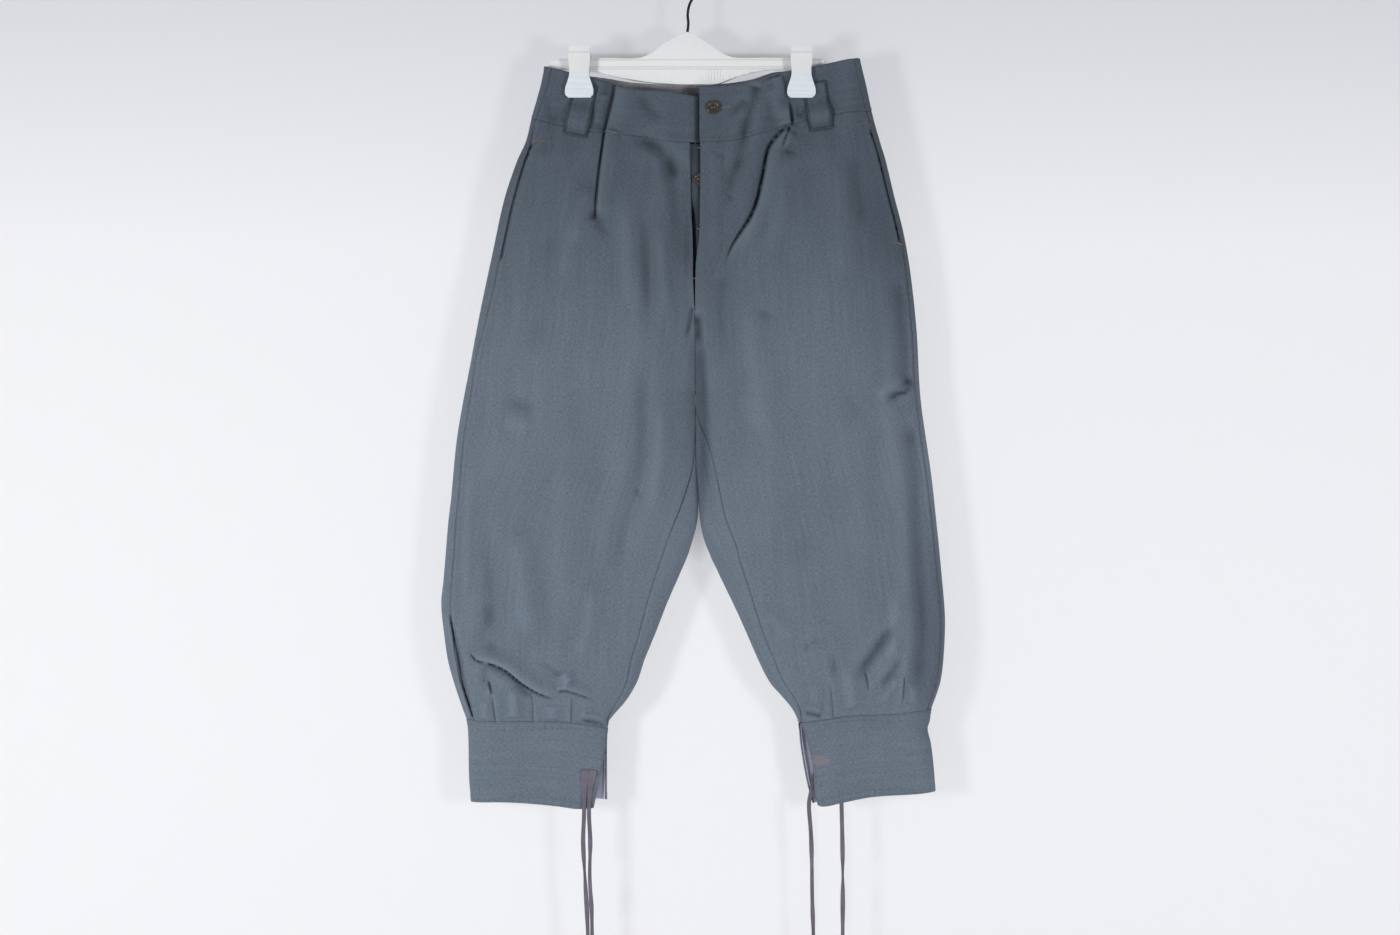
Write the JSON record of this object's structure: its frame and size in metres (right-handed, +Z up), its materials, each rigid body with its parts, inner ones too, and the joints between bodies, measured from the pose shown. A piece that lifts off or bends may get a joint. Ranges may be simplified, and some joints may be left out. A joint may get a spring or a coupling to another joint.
{
  "type": "military trousers on a clip hanger",
  "caption": "Full-legged calf-length trousers with a wide waistband, open button fly, belt loops and deep slit cuffs with tape ties, hung by the waist from a clip hanger.",
  "frame": {"origin": "the point inside the top of the hook that rests on a rail", "axes": "+Z up, -Y the front of the garment, +X towards the wearer's left"},
  "size_m": [0.6527, 0.063, 1.3416],
  "materials": {
    "drill": "matt slate blue-grey cotton drill with a fine upright slub",
    "lining": "matt lilac-grey cotton",
    "facing": "matt dark grey cotton",
    "tape": "limp mauve-grey cotton tape",
    "button": "dark brown mottled horn look",
    "hanger_plastic": "glossy white",
    "clip_plastic": "bluish white, slightly see-through at the grips",
    "hook_wire": "black coated wire",
    "spring_steel": "bright spring steel"
  },
  "bodies": {
    "root": {"front_right": "drill", "front_left": "drill", "back_right": "drill", "back_left": "drill", "waistband_front_right": "drill", "waistband_front_left": "drill", "waistband_back": "drill", "waistband_facing": "facing", "fly_shield": "drill", "belt_loop_front_right": "drill", "belt_loop_front_left": "drill", "belt_loop_back_centre": "drill", "cuff_right": "drill", "cuff_left": "drill", "cuff_lining_right": "lining", "cuff_lining_left": "lining", "tie_right_front": "tape", "tie_right_back": "tape", "tie_left_front": "tape", "tie_left_back": "tape", "waist_button": "button", "fly_button": "button", "hanger_bar": "hanger_plastic", "hanger_hook": "hook_wire", "clip_right_front": "clip_plastic", "clip_right_back": "clip_plastic", "clip_right_spring": "spring_steel", "clip_left_front": "clip_plastic", "clip_left_back": "clip_plastic", "clip_left_spring": "spring_steel"}
  },
  "joints": []
}
